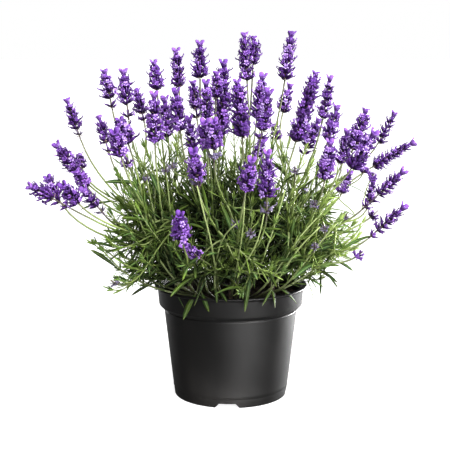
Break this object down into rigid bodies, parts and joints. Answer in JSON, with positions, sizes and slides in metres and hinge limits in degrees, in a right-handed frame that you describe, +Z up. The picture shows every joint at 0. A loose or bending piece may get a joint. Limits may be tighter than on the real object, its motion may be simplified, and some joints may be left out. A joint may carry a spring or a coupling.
{
  "type": "potted lavender plant",
  "caption": "Lavender in full flower: upright purple flower spikes over a bush of narrow grey-green leaves, in a round black plastic nursery pot.",
  "frame": {"origin": "on the pot's axis at the level of the foot ring that it stands on, which is also the bottom centre of the whole plant's box", "axes": "+Z up along the pot's axis; -Y is the front that the picture shows, and +X is its right; X is the longest way across and Y the shortest"},
  "size_m": [0.4287, 0.3443, 0.4043],
  "materials": {
    "pot_plastic": "satin",
    "soil": "rough",
    "foliage": "matte",
    "flowers": "matte"
  },
  "bodies": {
    "root": {"pot": "pot_plastic", "potting_soil": "soil", "branch_1": "foliage", "branch_2": "foliage", "branch_3": "foliage", "branch_4": "foliage", "branch_5": "foliage", "branch_6": "foliage", "branch_7": "foliage", "branch_8": "foliage", "head_01": "flowers", "head_02": "flowers", "head_03": "flowers", "head_04": "flowers", "head_05": "flowers", "head_06": "flowers", "head_07": "flowers", "head_08": "flowers", "head_09": "flowers", "head_10": "flowers", "head_11": "flowers", "head_12": "flowers", "head_13": "flowers", "head_14": "flowers", "head_15": "flowers", "head_16": "flowers", "head_17": "flowers", "head_18": "flowers", "head_19": "flowers", "head_20": "flowers", "head_21": "flowers", "head_22": "flowers", "head_23": "flowers", "head_24": "flowers", "head_25": "flowers", "head_26": "flowers", "head_27": "flowers", "head_28": "flowers", "head_29": "flowers", "head_30": "flowers", "head_31": "flowers", "head_32": "flowers", "head_33": "flowers", "head_34": "flowers", "head_35": "flowers", "head_36": "flowers", "head_37": "flowers", "head_38": "flowers", "head_39": "flowers", "head_40": "flowers", "head_41": "flowers", "head_42": "flowers", "head_43": "flowers", "head_44": "flowers", "head_45": "flowers", "head_46": "flowers", "head_47": "flowers", "head_48": "flowers", "head_49": "flowers", "head_50": "flowers"}
  },
  "joints": []
}
